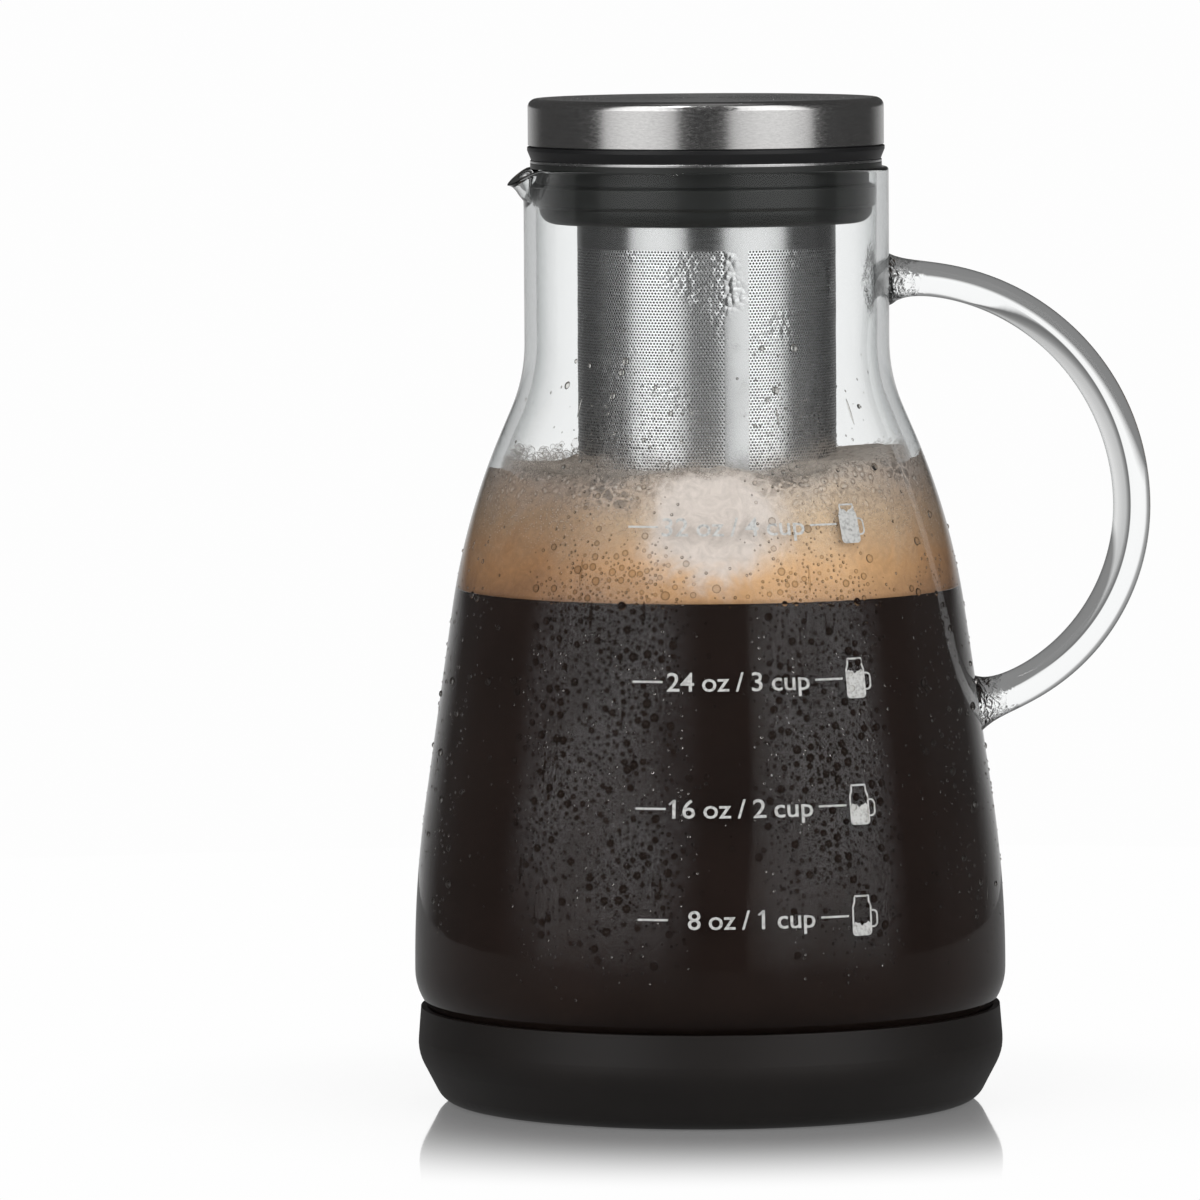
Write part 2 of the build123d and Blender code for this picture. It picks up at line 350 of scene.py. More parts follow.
def etched_sheet(add):
    """Photo-etched stainless sheet: rows of tiny round holes, drawn as darker steel whose dark is
    painted shade for the dim inside seen through them, plain along the seam and rims, with wet
    patches that glint. The real pitch of half a millimetre is drawn a little coarser, so that it
    shows."""
    angle, radius, height = turned_place(add)
    near = hole_distance(add, angle, height)
    hole = add("MapRange", near, 0.2, 0.34, 1.0, 0.0)
    field = within(add, height, SCREEN_LOW * MM, SCREEN_TOP * MM, 0.15 * MM)
    strip = within(add, angle, SEAM[0], SEAM[1], 0.004)
    etched = add("Math MULTIPLY", field, add("Math SUBTRACT", 1.0, strip))
    open_share = add("Math MULTIPLY", hole, etched)
    lines = add("CombineXYZ", angle, radius, height)
    squeeze = add("VectorMath MULTIPLY", lines, (0.004, 1, 1))
    rolled = add("TexNoise", {"Vector": squeeze, "Scale": 1800.0, "Detail": 3.0})
    dulled = add("MapRange", etched, 0.0, 1.0, 0.16, 0.2)
    rough = add("Math MULTIPLY_ADD", rolled, 0.12, dulled)
    plain_tone = add("Mix RGBA", {0: etched, 6: "#cfcfcf", 7: "#f4f4f4"})
    # Painted shade: the holes are drawn as dark steel for the dim inside seen through them.
    tone = add("Mix RGBA", {0: open_share, 6: plain_tone, 7: "#4a4a4a"})
    place = add("TexCoord").outputs["Object"]
    beads = add("TexVoronoi", {"Vector": place, "Scale": 800.0})
    patches = add("TexNoise", {"Vector": place, "Scale": 90.0, "Detail": 2.0})
    splashed = add("MapRange", patches, 0.5, 0.66, 0.0, 0.7)
    above_foam = add("MapRange", height, 134 * MM, 146 * MM)
    wetted = add("Math MULTIPLY", splashed, above_foam)
    damp = add("Math MULTIPLY", wetted, field)
    holes = add("Bump", {"Height": open_share, "Strength": 0.5, "Distance": 0.1 * MM}, invert=True)
    bump = add("Bump", {"Height": beads, "Strength": damp, "Distance": 0.25 * MM, "Normal": holes},
               invert=True)
    return add("BsdfPrincipled", {
        "Base Color": tone, "Metallic": 1.0, "Roughness": rough, "Normal": bump})


def lets_lamps_through(add, glass):
    """Glass that lamps shine through: shadow and diffuse rays pass it as if it weren't there."""
    path = add("LightPath")
    passing = add("Math MAXIMUM", path.outputs["Is Shadow Ray"], path.outputs["Is Diffuse Ray"])
    return add("MixShader", passing, glass, add("BsdfTransparent"))


def blown_glass(add):
    """Clear borosilicate glass, blown: faintly wavy, rippled where the attribute melted says
    that the handle was welded on, darkened by painted shade where it is seen edge on, and
    misted by fine condensation where the attribute wet says so, but not under a larger drop."""
    place = add("TexCoord").outputs["Object"]
    waves = add("TexNoise", {"Vector": place, "Scale": 70.0, "Detail": 2.0})
    wave_bump = add("Bump", {"Height": waves, "Strength": 0.1, "Distance": 0.4 * MM})
    ripples = add("TexNoise", {"Vector": place, "Scale": 520.0, "Detail": 1.0, "Distortion": 1.2})
    near_weld = add("Attribute", attribute_name="melted").outputs["Fac"]
    rippled = add("Bump", {"Height": ripples, "Strength": near_weld, "Distance": 1.1 * MM,
                           "Normal": wave_bump})
    beads = add("TexVoronoi", {"Vector": place, "Scale": 1400.0})
    wet = add("Attribute", attribute_name="wet").outputs["Fac"]
    bead_strength = add("Math MULTIPLY", wet, 0.35)
    bump = add("Bump", {"Height": beads, "Strength": bead_strength, "Distance": 0.15 * MM,
                        "Normal": rippled}, invert=True)
    # Painted shade: the glass's colour darkens where it is seen edge on, drawing its dark outline.
    edge = add("LayerWeight").outputs["Facing"]
    tone = add("ValToRGB", edge, stops=((0.5, "#fbfcfc"), (0.8, "#c6cbcb"), (1, "#3c4040")))
    glass = add("BsdfPrincipled", {
        "Base Color": tone, "Roughness": 0.0, "IOR": 1.47, "Specular Tint": "#8a8a8a",
        "Transmission Weight": 1.0, "Normal": bump})
    patches = add("TexNoise", {"Vector": place, "Scale": 900.0, "Detail": 4.0})
    speckle = add("MapRange", patches, 0.35, 0.65, 0.4, 1.2)
    share = add("Math MULTIPLY", wet, speckle)
    passed = add("LightPath").outputs["Transmission Depth"]
    bare = add("MapRange", passed, 0.0, 1.0, 0.036, 0.0)
    haze = add("Math MULTIPLY", share, bare)
    misted = add("MixShader", haze, glass, add("BsdfDiffuse", "#e8e8ea"))
    return lets_lamps_through(add, misted)


def water(add):
    """Water, condensed: beads that are clear in the middle, with painted shade darkening them
    round the outline, for the dark that a lens of water shows against what it lies on."""
    # Painted shade: the bead's colour darkens towards its outline.
    edge = add("LayerWeight").outputs["Facing"]
    lens = add("ValToRGB", edge, stops=(
        (0, "#f2f1ef"), (0.16, "#e8e6e2"), (0.46, "#b9b4ae"), (0.7, "#6e6964"), (1, "#45413e")))
    glass = add("BsdfPrincipled", {
        "Base Color": lens, "Roughness": 0.0, "IOR": 1.33, "Specular Tint": "#6c6c6c",
        "Transmission Weight": 1.0})
    return lets_lamps_through(add, glass)


def cold_brew(add):
    """Cold brew coffee: nearly black, with a trace of brown."""
    place = add("TexCoord").outputs["Object"]
    clouds = add("TexNoise", {"Vector": place, "Scale": 35.0, "Detail": 3.0})
    tone = add("Mix RGBA", {0: clouds, 6: "#15100e", 7: "#211916"})
    return add("BsdfPrincipled", {
        "Base Color": tone, "Roughness": 0.5, "IOR": 1.33, "Specular IOR Level": 0.0})


def honeycomb(add, place, level, share, tone):
    """Clusters of large open bubbles near the foam's top: painted shade inside, with thin pale
    walls.
    """
    cells = add("TexVoronoi", {"Vector": place, "Scale": 400.0}, feature="DISTANCE_TO_EDGE")
    clusters = add("TexNoise", {"Vector": place, "Scale": 75.0, "Detail": 1.0})
    grouped = add("MapRange", clusters, 0.5, 0.6)
    high = within(add, level, (FOAM_Z - 6) * MM, (FOAM_Z + 3) * MM, 1.0 * MM)
    there = add("Math MULTIPLY", grouped, high)
    shown = add("Math MULTIPLY", there, share)
    # Painted shade fills the middle of each open bubble; its thin walls are pale.
    for code, start, end, cover in (("#c4bbb1", 0.02, 0.0, 0.5), ("#4c4641", 0.07, 0.16, 0.62)):
        part = add("MapRange", cells, start, end, 0.0, cover)
        cover = add("Math MULTIPLY", part, shown)
        tone = add("Mix RGBA", {0: cover, 6: tone, 7: code})
    return tone


def packed_bubbles(add, place, rise, share, tone):
    """Small bubbles, packed, in two sizes, the larger one higher up: domes with darker walls
    and a painted highlight in the middle. The colour with them, and their bump."""
    bend = add("TexNoise", {"Vector": place, "Scale": 260.0})
    bent = add("VectorMath MULTIPLY_ADD", bend.outputs["Color"], (0.0025,) * 3, place)
    domes = None
    for scale, low, high, wall in ((1500.0, 0.3, 0.6, 0.3), (520.0, 0.55, 0.95, 0.5)):
        away = add("TexVoronoi", {"Vector": bent, "Scale": scale, "Randomness": 0.85})
        shown = add("Math MULTIPLY", add("MapRange", rise, low, high), share)
        walls = add("Math MULTIPLY", within(add, away, 0.36, 0.46, 0.05), shown)
        dark = add("Math MULTIPLY", walls, wall)
        tone = add("Mix RGBA", {0: dark, 6: tone, 7: "#5a4a3e"})
        # Painted highlight: a pale spot in the middle of each dome.
        bright = add("MapRange", away, 0.05, 0.3, 0.35, 0.0)
        painted_highlight = add("Math MULTIPLY", bright, shown)
        tone = add("Mix RGBA", {0: painted_highlight, 6: tone, 7: "#e4ddd4"})
        dome = add("Math MINIMUM", away, 0.42)
        bulge = {"Height": dome, "Strength": shown, "Distance": 0.8 / scale}
        if domes:
            bulge["Normal"] = domes
        domes = add("Bump", bulge, invert=True)
    return tone, domes


def coffee_foam(add):
    """Whipped coffee foam: tan and fine below, greyer with larger bubbles above, palest in
    front of the filter and darker towards the sides by painted shade, lightened on its upper
    face by painted light, with a fogged white patch behind the scale."""
    place = add("TexCoord").outputs["Object"]
    angle, _, height = turned_place(add)
    clouds = add("TexNoise", {"Vector": place, "Scale": 55.0, "Detail": 6.0, "Roughness": 0.65,
                              "Distortion": 1.2})
    uneven = add("Math MULTIPLY_ADD", clouds, 16 * MM, -8 * MM)
    level = add("Math", height, uneven)
    rise = add("MapRange", level, COFFEE_Z * MM, FOAM_Z * MM)
    pale = add("ValToRGB", rise, stops=(
        (0, "#a47f5a"), (0.25, "#bd9569"), (0.6, "#bda588"), (1, "#a89d92")))
    # Painted shade: a darker copy of the foam's colours, mixed in towards the sides away from the
    # front.
    painted_shade_tone = add("ValToRGB", rise, stops=(
        (0, "#6f5139"), (0.25, "#856242"), (0.6, "#876f58"), (1, "#867c74")))
    off = add("Math ABSOLUTE", add("Math SUBTRACT", angle, radians(8)))
    near = add("MapRange SMOOTHSTEP", off, radians(12), radians(62), 1.0, 0.0)
    body = add("Mix RGBA", {0: near, 6: painted_shade_tone, 7: pale})

    away = add("Math MULTIPLY", add("Math SUBTRACT", angle, radians(-5)), 1 / radians(19))
    lift = add("MapRange", height, 109 * MM, 133 * MM, -1.1, 0.7, clamp=False)
    far = add("VectorMath LENGTH", add("CombineXYZ", away, lift))
    ragged = add("Math MULTIPLY_ADD", clouds, 1.4, far)
    fog = add("MapRange SMOOTHSTEP", ragged, 1.25, 1.9, 0.95, 0.0)
    fogged = add("Mix RGBA", {0: fog, 6: body, 7: "#bfb6af"})

    grain = add("TexNoise", {"Vector": place, "Scale": 330.0, "Detail": 5.0, "Roughness": 0.6,
                             "Distortion": 2.2})
    mottle = add("MapRange", grain, 0.3, 0.7, 0.86, 1.12)
    tone = add("Mix RGBA", {0: 1.0, 6: fogged, 7: mottle}, blend_type="MULTIPLY")
    clear = add("Math SUBTRACT", 1.0, fog)
    tone, domes = packed_bubbles(add, place, rise, clear, tone)
    tone = honeycomb(add, place, level, clear, tone)
    fine = add("TexNoise", {"Vector": place, "Scale": 1500.0, "Detail": 2.0})
    bump = add("Bump", {"Height": fine, "Strength": 0.35, "Distance": 0.4 * MM, "Normal": domes})
    # Painted light: the foam's upper face is lightened where its normal points up.
    upward = add("SeparateXYZ", add("NewGeometry").outputs["Normal"]).outputs[2]
    top = add("MapRange", upward, 0.6, 0.9, 0.0, 0.4)
    painted_top_light = add("Mix RGBA", {0: top, 6: tone, 7: "#b9b0a6"})
    return add("BsdfPrincipled", {
        "Base Color": painted_top_light, "Roughness": 0.45, "Normal": bump, "Specular IOR Level": 0.35})


def bubble_film(add):
    """Soap-thin bubble walls: clear in the middle, with a thin grey-brown outline."""
    edge = add("LayerWeight").outputs["Facing"]
    cover = add("MapRange", edge, 0.45, 0.95, 0.05, 0.95)
    return add("BsdfPrincipled", {
        "Base Color": "#948a80", "Roughness": 0.1, "IOR": 1.33, "Alpha": cover})


def fired_ink(add):
    """White ceramic ink, screen printed and fired: matte, with pinholes and thin spots."""
    place = add("TexCoord").outputs["Object"]
    worn = add("TexNoise", {"Vector": place, "Scale": 1600.0, "Detail": 3.0})
    tone = add("MapRange", worn, 0.3, 0.55)
    mixed = add("Mix RGBA", {0: tone, 6: "#8b8b89", 7: "#b3b3b1"})
    return add("BsdfPrincipled", {"Base Color": mixed, "Roughness": 0.55})


# --- Carafe ---
def carafe_outline():
    """The outside of the glass from the rim down to the axis."""
    return rounded([
        (NECK_R, RIM_Z),
        (NECK_R, SHOULDER_Z, 34.0),
        (HIP_R, HIP_Z, 145.0),
        (BELLY_R, BELLY_Z, 240.0),
        (BELLY_R, BASE_FLOOR, 12.0),
        (42.0, BASE_FLOOR, 20.0),
        (16.0, BASE_FLOOR + PUNT_H, 20.0),
        (0.0, BASE_FLOOR + PUNT_H),
    ], step=1.35)


def radius_at(outline, height):
    """The radius of an outline, which runs downwards, at a height."""
    for high, low in zip(outline, outline[1:]):
        if low.y <= height <= high.y and high.y > low.y:
            return low.x + (high.x - low.x) * (height - low.y) / (high.y - low.y)
    return outline[0].x


def smooth_max(a, b, width):
    """The larger of two numbers, rounded off where they meet."""
    overlap = max(width - abs(a - b), 0.0) / width
    return max(a, b) + overlap * overlap * width / 4


def lip_shape(radius, angle, height):
    """Draws the rim out and down to a pouring lip on the side away from the handle."""
    depth = (RIM_Z - height) / LIP_H
    if depth >= 1:
        return radius, height
    wall = GLASS_WALL if radius < NECK_R - GLASS_WALL / 2 else 0.0
    neck = NECK_R - wall
    across = NECK_R + LIP_REACH - LIP_ROUND
    round_r = LIP_ROUND - LIP_REACH * depth - wall
    from_lip = angle + pi / 2
    side = across * sin(from_lip)
    if cos(from_lip) <= 0 or abs(side) >= round_r:
        return radius, height
    reach = across * cos(from_lip) + sqrt(round_r ** 2 - side ** 2)
    out = (smooth_max(neck, reach, LIP_BLEND) - neck) * fade(1 - depth, 0.0, 0.3)
    start = NECK_R + LIP_REACH - LIP_DIP_RUN
    far = ((radius + out) * cos(from_lip) - start) / LIP_DIP_RUN
    dip = LIP_DIP * max(far, 0.0) ** 1.3 * (1 - depth) ** 1.5
    return radius + out, height - dip


def handle_arcs():
    """The two arcs of the rod's middle line, which meet at its furthest point: for each its
    centre, radius and the angle at its weld."""
    far = Vector((NECK_R + HANDLE_REACH, RIM_Z - HANDLE_FAR_DROP))
    low_z = BASE_FLOOR + HANDLE_BOTTOM_H
    flank_r = HIP_R + (BELLY_R - HIP_R) * (HIP_Z - low_z) / (HIP_Z - BELLY_Z)
    arcs = []
    for weld in (Vector((NECK_R, RIM_Z - HANDLE_TOP_DROP)), Vector((flank_r, low_z))):
        way = far - weld
        bend_r = way.length_squared / (2 * way.x)
        centre = Vector((far.x - bend_r, far.y))
        arcs.append((centre, bend_r, atan2(weld.y - centre.y, weld.x - centre.x)))
    return arcs


# Where along the rod its welds are looked for, inside the wall and outside.
FIRST_WELD = (-0.15, 0.3)
LAST_WELD = (1.15, 0.7)


def glass_rod(outline):
    """The handle's rod, flared at its welds, each line along it ending inside the wall."""
    upper, lower = handle_arcs()
    upper_run, lower_run = upper[1] * upper[2], -lower[1] * lower[2]
    length = upper_run + lower_run

    def spot(along, turn, thick):
        """A point of the rod: along from weld to weld, turned round its middle line."""
        run = along * length - upper_run
        centre, bend_r, _ = upper if run < 0 else lower
        angle = -run / bend_r
        near = length * max(0.0, min(along, 1 - along))
        drawn = 1 - ROD_DRAWN * (1 - fade(along, -0.1, 0.5))
        rod_r = thick * (ROD_R * drawn + WELD_FLARE * exp(-near / WELD_RUN))
        out = bend_r + rod_r * cos(turn)
        return Vector((centre.x + out * cos(angle), rod_r * sin(turn),
                       centre.y + out * sin(angle)))

    def weld(inside, outside, turn, thick):
        """How far along the rod a line of it meets the middle of the wall."""
        for _ in range(30):
            middle = (inside + outside) / 2
            place = spot(middle, turn, thick)
            wall_r = radius_at(outline, place.z) - GLASS_WALL / 2
            if hypot(place.x, place.y) < wall_r:
                inside = middle
            else:
                outside = middle
        return inside

    rounds, steps = 32, 110
    verts, faces = [], []
    for k in range(rounds):
        turn = 2 * pi * k / rounds
        start, end = weld(*FIRST_WELD, turn, 1.0), weld(*LAST_WELD, turn, 1.0)
        verts += [spot(start + (end - start) * i / steps, turn, 1.0) for i in range(steps + 1)]
    for k in range(rounds):
        here, there = k * (steps + 1), (k + 1) % rounds * (steps + 1)
        for i in range(steps):
            faces.append((here + i, here + i + 1, there + i + 1, there + i))
    for end, span in ((0, FIRST_WELD), (steps, LAST_WELD)):
        verts.append(spot(weld(*span, 0.0, 0.0), 0.0, 0.0))
        for k in range(rounds):
            faces.append((k * (steps + 1) + end, (k + 1) % rounds * (steps + 1) + end,
                          len(verts) - 1))
    return mesh_object("glass_rod", verts, faces)


def melted(spot):
    """How rippled the glass is round a weld of the handle, from 0 to 1."""
    welds = [centre + bend_r * Vector((cos(turn), sin(turn))) for centre, bend_r, turn in
             handle_arcs()]
    near = min((spot - Vector((weld.x, 0, weld.y))).length for weld in welds)
    return 1 - fade(near, ROD_R, 2.6 * ROD_R)


def carafe_glass(outline, finish):
    """Carafe and handle as one piece of glass, welded where the rod meets the wall."""
    shoulder = RIM_Z - 2 * RIM_ROUND
    inner = shifted(outline, GLASS_WALL)
    bore = NECK_R - GLASS_WALL
    rim = rounded([(bore, shoulder), (bore, RIM_Z, RIM_ROUND), (NECK_R, RIM_Z, RIM_ROUND),
                   (NECK_R, shoulder)], step=0.3)
    profile = [p for p in reversed(inner) if p.y < shoulder - 0.3] + rim
    profile += [p for p in outline if p.y < shoulder - 0.3]
    profile[0].x = profile[-1].x = 0.0
    body = lathe("glass_skin", profile, reshape=lip_shape)
    rod = glass_rod(outline)
    weld = body.modifiers.new("weld", "BOOLEAN")
    weld.operation, weld.solver, weld.object = "UNION", "MANIFOLD", rod
    made = plain(body, "carafe_glass")
    bpy.data.objects.remove(rod)
    made.data.materials.clear()
    made.data.materials.append(finish)
    made.data.shade_smooth()
    wet = made.data.attributes.new("wet", "FLOAT", "POINT")
    rippled = made.data.attributes.new("melted", "FLOAT", "POINT")
    for spot, value, ripple in zip(made.data.vertices, wet.data, rippled.data):
        radius = hypot(spot.co.x, spot.co.y) / MM
        height = spot.co.z / MM
        ripple.value = melted(spot.co / MM)
        if abs(radius - radius_at(outline, height)) < 0.5:
            value.value = wetness(atan2(spot.co.x, -spot.co.y), height)
    return made


def coffee(outline, finish):
    """The coffee, up to the foam."""
    inside = shifted(outline, GLASS_WALL - WETTING)
    edge = Vector((radius_at(inside, COFFEE_Z), COFFEE_Z))
    top = [Vector((edge.x * i / 12, COFFEE_Z)) for i in range(12)]
    wall = [p for p in inside if 0 < p.y < COFFEE_Z]
    wall[-1].x = 0.0
    return lathe("coffee", top + [edge] + wall, finish, segments=160)


# Heaps of large bubbles round the foam's edge: middle and width in degrees, and how many.
HEAPS = ((-46, 30, 1.0), (17, 13, 0.9), (-15, 14, 0.3), (62, 14, 0.15), (104, 22, 0.15),
         (170, 40, 0.9), (-120, 34, 1.0))
FOAM_ROUND = 1.1         # how far the foam's upper edge is rounded off
CLIMB = 3.6              # how far the foam climbs the glass where it clings
CLIMB_AT = 84            # where that is, in degrees


def off_by(angle, degrees):
    """How far an angle is from one in degrees, either way round, in radians."""
    return abs((angle - radians(degrees) + pi) % (2 * pi) - pi)


def strongest(angle, bands, inner, outer):
    """The strongest of some bands at an angle. A band's strength is whole up to inner times its
    width from its middle, and gone from outer times it."""
    share = 0.0
    for middle, width, level in bands:
        gone = fade(off_by(angle, middle), radians(width) * inner, radians(width) * outer)
        share = max(share, level * (1 - gone))
    return share


def heaped(angle):
    """How many large bubbles there are at an angle, from 0 to 1."""
    return strongest(angle, HEAPS, 0.4, 1.0)


def foam_top(angle, radius):
    """Height of the foam's upper side, which is uneven and climbs where it clings."""
    lumps = noise.noise(Vector((sin(angle), cos(angle), radius / 22)) * 2.2)
    small = noise.noise(Vector((radius * sin(angle), radius * cos(angle), 7.0)) / 5)
    aside = fade(off_by(angle, CLIMB_AT), radians(12), radians(56))
    climb = CLIMB * (1 - aside) * fade(radius, 20, 42)
    return FOAM_Z + 1.6 * lumps + 0.7 * small + climb - 1.6 * heaped(angle)


def foam(outline, finish):
    """The head of foam on the coffee."""
    inside = shifted(outline, GLASS_WALL - WETTING)
    edge_r = radius_at(inside, FOAM_Z)
    side = rounded([(radius_at(inside, COFFEE_Z + 0.1), COFFEE_Z + 0.1), (edge_r, FOAM_Z)], 1.2)

    def heave(radius, angle, height):
        if height < COFFEE_Z + 0.2:
            return radius, height
        if height >= FOAM_Z - 1e-6:
            height = foam_top(angle, radius)
            return min(radius, radius_at(inside, height) - FOAM_ROUND), height
        rise = (height - COFFEE_Z) / (FOAM_Z - COFFEE_Z)
        top = foam_top(angle, edge_r)
        height = COFFEE_Z + rise * (top - COFFEE_Z)
        drawn = FOAM_ROUND * fade(height, top - 3.5, top) ** 2
        return radius_at(inside, height) - drawn, height

    bottom = [Vector((side[0].x * i / 6, COFFEE_Z + 0.1)) for i in range(6)]
    top = [Vector((edge_r * (1 - i / 36), FOAM_Z)) for i in range(1, 37)]
    return lathe("coffee_foam", bottom + side + top, finish, segments=200, reshape=heave)


# --- Condensation and bubbles ---
# Middle and width of each misted band round the carafe, in degrees from the scale, and how
# much there is in it.
WET_BANDS = ((-31, 36, 1.0), (17, 28, 1.0), (52, 20, 0.14), (-78, 18, 0.12), (118, 34, 0.4),
             (172, 26, 0.4), (-150, 40, 0.4))
DROP_GAP = 0.3           # between drops of two kinds
# Each kind of drop: is it finely rounded, and its numbers for scatter.
DROPS = (("large_drops", True, (1.6, 620000, 0.36, 0.98, 2.4, 1.0, 3)),
         ("small_drops", False, (0.74, 3400000, 0.14, 0.36, 1.3, 1.0, 11)),
         ("water_runs", True, (9.0, 16000, 0.2, 0.36, 1.2, 9.0, 4)))
# Each kind of bubble: its form's rings, how far in from the wall it stands, how many there are
# between the heaps, how far it reaches below and above the foam's top, and its numbers.
BUBBLES = (("foam_bubbles", 7, 1.0, 0.06, -2.5, 3.2, (0.8, 1700000, 0.35, 1.4, 1.9, 1.0, 5)),
           ("froth_bubbles", 5, 0.35, 0.5, -1.8, 0.7, (0.45, 6000000, 0.2, 0.5, 1.5, 1.0, 8)))


def wetness(angle, height):
    """How misted the carafe's outside is, from 0 to 1."""
    along = strongest(angle, WET_BANDS, 0.36, 0.62)
    lumps = 0.86 + 0.6 * noise.noise(Vector((6 * sin(angle), 6 * cos(angle), height / 18)))
    fall = 0.35 + 0.65 * fade(height, 30, 66)
    over = 1 - 0.9 * fade(height, 106, 124)
    ends = fade(height, 24, 44) * (1 - fade(height, 140, 168))
    return (0.04 + along) * fall * over * ends * min(max(lumps, 0.0), 1.0)


def in_the_box(outline, angle, height):
    """1 where a drop on the carafe stays inside the size of the solids, and 0 elsewhere."""
    reach = radius_at(outline, height) + 0.8
    return float(max(reach * abs(cos(angle)), -reach * sin(angle)) < BELLY_R)


def wet_skin(outline, low, high, amount):
    """The carafe's outside between two heights, with an amount for each point."""
    heights = [low + (high - low) * i / 60 for i in range(61)]
    skin = lathe("wet_skin", [(radius_at(outline, z), z) for z in heights], segments=240)
    values = skin.data.attributes.new("amount", "FLOAT", "POINT")
    for spot, value in zip(skin.data.vertices, values.data):
        value.value = amount(atan2(spot.co.x, -spot.co.y), spot.co.z / MM)
    return skin


def drop_form(fine):
    """A bead of water of radius 1 mm on a wall: a low dome with a flat, sunk back."""
    if fine:
        dome = [(0.0, 0.62), (0.5, 0.52), (0.85, 0.27), (1.0, 0.0), (0.92, -0.06), (0.0, -0.06)]
        return lathe("drop_form", dome, segments=10)
    return lathe("drop_form", [(0.0, 0.6), (0.62, 0.42), (1.0, -0.02), (0.0, -0.06)], segments=8)


def bubble_form(rings):
    """A round bubble of radius 1 mm; more rings make it rounder."""
    ball = [(sin(pi * i / rings), cos(pi * i / rings)) for i in range(rings + 1)]
    return lathe("bubble_form", ball, segments=2 * rings - 2)


def scatter_tree():
    """Spreads copies of a form over a skin by its amount, in random sizes, standing outwards
    and stretched upright, and leaves a gap to the object that it is to avoid."""
    tree = bpy.data.node_groups.new("scatter", "GeometryNodeTree")
    add = partial(node, tree)
    sockets = (("Skin", "Geometry"), ("Form", "Object"), ("Spacing", "Float"),
               ("Density", "Float"), ("Smallest", "Float"), ("Largest", "Float"),
               ("Few large", "Float"), ("Stretch", "Float"), ("Avoid", "Object"),
               ("Gap", "Float"), ("Seed", "Int"), ("Finish", "Material"))
    for name, kind in sockets:
        tree.interface.new_socket(name, in_out="INPUT", socket_type="NodeSocket" + kind)
    tree.interface.new_socket("Copies", in_out="OUTPUT", socket_type="NodeSocketGeometry")
    given = add("NodeGroupInput").outputs
    amount = add("GeometryNodeInputNamedAttribute", {"Name": "amount"})
    points = add("GeometryNodeDistributePointsOnFaces", {
        "Mesh": given["Skin"], "Distance Min": given["Spacing"], "Density Max": given["Density"],
        "Density Factor": amount, "Seed": given["Seed"]}, distribute_method="POISSON")
    others = add("GeometryNodeObjectInfo", {"Object": given["Avoid"]})
    nearest = add("GeometryNodeProximity", {"Geometry": others.outputs["Geometry"]})
    close = add("Math LESS_THAN", nearest.outputs["Distance"], given["Gap"])
    crowded = add("Math MULTIPLY", close, nearest.outputs["Is Valid"])
    apart = add("GeometryNodeDeleteGeometry", {"Geometry": points, "Selection": crowded})
    chance = add("FunctionNodeRandomValue", {"Seed": given["Seed"]})
    skewed = add("Math POWER", chance, given["Few large"])
    size = add("MapRange", skewed, 0.0, 1.0, given["Smallest"], given["Largest"])
    tall = add("Math MULTIPLY", size, given["Stretch"])
    measure = add("CombineXYZ", size, tall, size)
    form = add("GeometryNodeObjectInfo", {"Object": given["Form"]})
    copies = add("GeometryNodeInstanceOnPoints", {
        "Points": apart, "Instance": form.outputs["Geometry"],
        "Rotation": points.outputs["Rotation"], "Scale": measure})
    solid = add("GeometryNodeRealizeInstances", copies)
    add("NodeGroupOutput", add("GeometryNodeSetMaterial", solid, {"Material": given["Finish"]}))
    return tree


def scatter(tree, name, skin, form, finish, numbers, avoid=None):
    """Copies of a form spread over a skin, as a plain piece that the carafe carries. The
    numbers are the spacing, how many a square metre, the smallest and largest size, how few
    are large, the stretch and the seed."""
    names = ("Spacing", "Density", "Smallest", "Largest", "Few large", "Stretch", "Seed")
    given = dict(zip(names, numbers), Form=form, Finish=finish, Avoid=avoid, Gap=DROP_GAP * MM)
    given["Spacing"] *= MM
    carrier = skin.copy()
    bpy.context.scene.collection.objects.link(carrier)
    spread = carrier.modifiers.new("spread", "NODES")
    spread.node_group = tree
    for item in tree.interface.items_tree:
        if given.get(item.name) is not None:
            spread[item.identifier] = given[item.name]
    made = plain(carrier, name)
    made.data.shade_smooth()
    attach(made, "carafe")
    bpy.data.objects.remove(form)
    return made


def condensation(outline, tree):
    """Beads of water on the outside of the carafe, and a few that have run down it."""

    def amount(angle, height):
        return wetness(angle, height) * in_the_box(outline, angle, height)

    skin = wet_skin(outline, 22, 168, amount)
    bead = material("condensed_water", water)
    beads = None
    for name, fine, numbers in DROPS:
        beads = scatter(tree, name, skin, drop_form(fine), bead, numbers, beads)
    bpy.data.objects.remove(skin)


def bubbles(outline, tree):
    """Bubbles standing on the foam where it clings to the glass: large ones in heaps, and a
    froth of small ones all round."""
    film = material("bubble_film", bubble_film)
    for name, rings, sunk, few, low, high, numbers in BUBBLES:
        inside = shifted(outline, GLASS_WALL + sunk)

        def amount(angle, height):
            top = foam_top(angle, radius_at(inside, FOAM_Z))
            share = few + heaped(angle)
            over = 1 - fade(height, top + high * min(share, 1.0), top + 1 + high * share)
            return min(share, 1.0) * over * fade(height, top + low - 1, top + low)

        skin = wet_skin(inside, FOAM_Z - 8, FOAM_Z + 7, amount)
        scatter(tree, name, skin, bubble_form(rings), film, numbers)
        bpy.data.objects.remove(skin)


